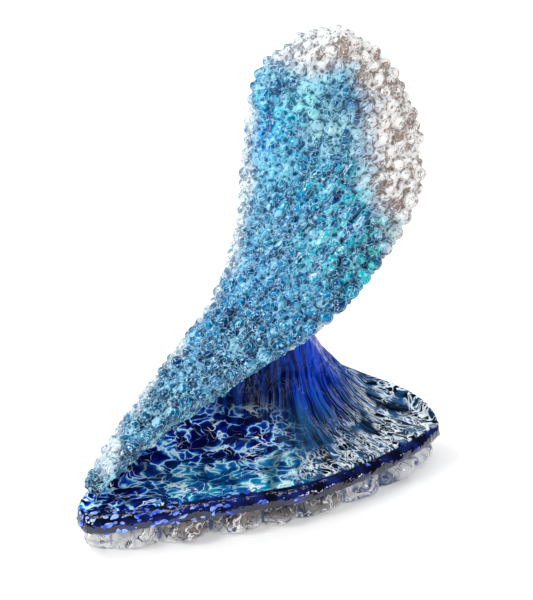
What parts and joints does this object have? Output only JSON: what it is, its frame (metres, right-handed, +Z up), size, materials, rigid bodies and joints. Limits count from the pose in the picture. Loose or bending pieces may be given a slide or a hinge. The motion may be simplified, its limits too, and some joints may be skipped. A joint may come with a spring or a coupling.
{
  "type": "glass wave sculpture",
  "caption": "Breaking-wave glass sculpture: clear lobed foot, cobalt base rising into a hollow barrel, and a tall curled crest slab covered in round glass beads.",
  "frame": {"origin": "on the shelf plane under the middle of the foot, where the length and depth of the wave were centred when it was drawn", "axes": "+X along the wave from its low tip to its right tip, +Y away from the viewer of the pebbled front, +Z up to the crown of the crest"},
  "size_m": [0.2479, 0.1808, 0.3301],
  "materials": {
    "clear_glass": "fire-polished, clear",
    "navy_glass": "fire-polished, near-opaque dark blue",
    "opal_blue_glass": "opal white-blue frit, fused flush",
    "cobalt_glass": "fire-polished, cobalt over white threads",
    "deep_blue_glass": "fire-polished, transparent mid blue",
    "wave_blue_glass": "fire-polished, transparent wave blue",
    "teal_glass": "fire-polished, transparent teal",
    "ice_glass": "fire-polished, clear with white foam",
    "pale_blue_glass": "fire-polished, clear over blue"
  },
  "bodies": {
    "root": {"clear_foot": "clear_glass", "foot_lobe_01": "clear_glass", "foot_lobe_02": "clear_glass", "foot_lobe_03": "clear_glass", "foot_lobe_04": "clear_glass", "foot_lobe_05": "clear_glass", "foot_lobe_06": "clear_glass", "foot_lobe_07": "clear_glass", "foot_lobe_08": "clear_glass", "foot_lobe_09": "clear_glass", "foot_lobe_10": "clear_glass", "foot_lobe_11": "clear_glass", "foot_lobe_12": "clear_glass", "foot_lobe_13": "clear_glass", "foot_lobe_14": "clear_glass", "foot_lobe_15": "clear_glass", "foot_lobe_16": "clear_glass", "foot_lobe_17": "clear_glass", "foot_lobe_18": "clear_glass", "navy_rim": "navy_glass", "rim_spots": "opal_blue_glass", "cobalt_floor": "cobalt_glass", "barrel_wall": "cobalt_glass", "crest_root": "deep_blue_glass", "crest_waist": "wave_blue_glass", "crest_shoulder": "teal_glass", "crest_crown": "ice_glass", "root_beads": "pale_blue_glass", "waist_beads": "pale_blue_glass", "shoulder_beads": "wave_blue_glass", "crown_beads": "ice_glass", "root_seeds": "pale_blue_glass", "waist_seeds": "pale_blue_glass", "shoulder_seeds": "teal_glass", "crown_seeds": "ice_glass", "lip_drops": "pale_blue_glass", "teal_streaks": "teal_glass"}
  },
  "joints": []
}
